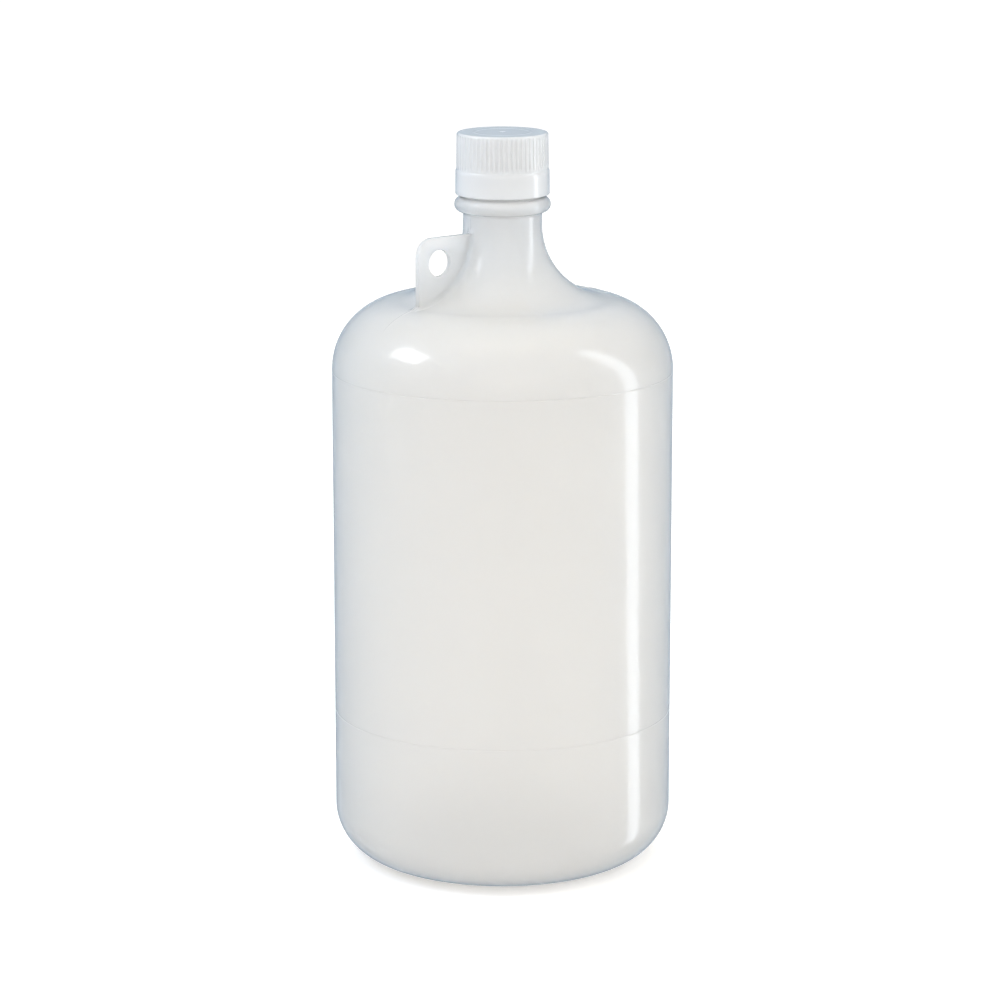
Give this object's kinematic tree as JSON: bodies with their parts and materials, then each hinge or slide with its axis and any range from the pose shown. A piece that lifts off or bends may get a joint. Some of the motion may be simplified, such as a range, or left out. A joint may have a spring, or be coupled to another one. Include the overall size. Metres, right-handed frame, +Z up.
{
  "type": "reagent bottle",
  "caption": "Tall round narrow-mouth bottle in translucent plastic, with a domed shoulder, a hanging lug with a hole, a bead on the neck and a ribbed screw closure.",
  "frame": {"origin": "centre of the circle that the bottle stands on, at the level of its foot ring", "axes": "+Z up along the bottle's axis, -X towards the hanging lug, which lies in the XZ plane"},
  "size_m": [0.154, 0.154, 0.3339],
  "materials": {
    "natural_polypropylene": "translucent natural blow moulded polypropylene, satin with a soft gloss",
    "natural_closure_polypropylene": "translucent natural injection moulded polypropylene, soft gloss",
    "white_liner_foam": "white foamed polyethylene, matt"
  },
  "bodies": {
    "bottle": {"bottle": "natural_polypropylene"},
    "liner": {"seal_liner": "white_liner_foam"},
    "closure": {"closure": "natural_closure_polypropylene"}
  },
  "joints": [
    {"name": "cap_lift", "type": "slide", "parent": "bottle", "child": "liner", "axis": [0, 0, 1], "range_m": [0, 0.034]},
    {"name": "cap_turn", "type": "hinge", "parent": "liner", "child": "closure", "pos_m": [0, 0, 0.32], "axis": [0, 0, 1], "range_deg": [0, 2880]}
  ],
  "couplings": [
    {"joint": "cap_lift", "follows": "cap_turn", "m_per_rad": 0.00067376}
  ]
}
